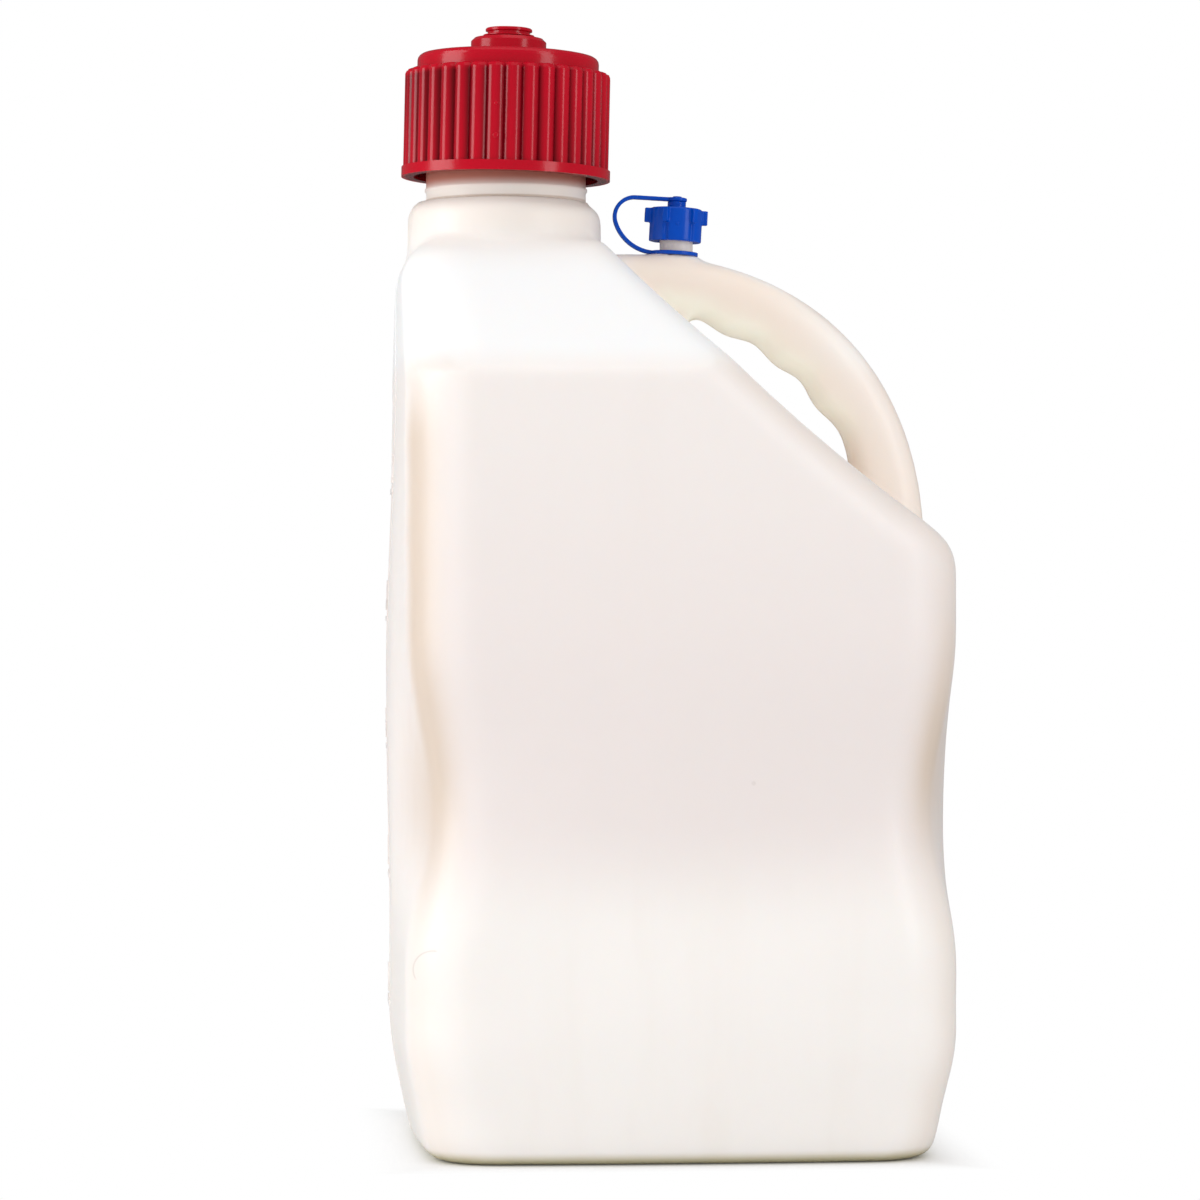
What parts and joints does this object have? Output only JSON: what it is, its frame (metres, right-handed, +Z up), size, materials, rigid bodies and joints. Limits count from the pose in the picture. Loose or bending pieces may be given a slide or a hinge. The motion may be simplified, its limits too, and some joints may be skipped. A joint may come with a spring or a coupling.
{
  "type": "utility jug",
  "caption": "Square moulded plastic utility jug with a finger-grip handle, a lobed screw cap and a small vent cap held by a strap.",
  "frame": {"origin": "centre of the base, on the surface that the jug stands on", "axes": "+Z up, +X to the handle side, -X the pouring side with the raised level marks; the mould parts along the XZ plane"},
  "size_m": [0.2715, 0.2516, 0.5423],
  "materials": {
    "milky_plastic": "milky white moulded polyethylene, satin",
    "red_plastic": "red moulded plastic, satin",
    "blue_plastic": "blue moulded plastic, smooth",
    "blue_strap_plastic": "flexible blue plastic, satin"
  },
  "bodies": {
    "root": {"jug_body": "milky_plastic", "cap": "red_plastic", "vent_cap": "blue_plastic", "vent_strap": "blue_strap_plastic"}
  },
  "joints": []
}
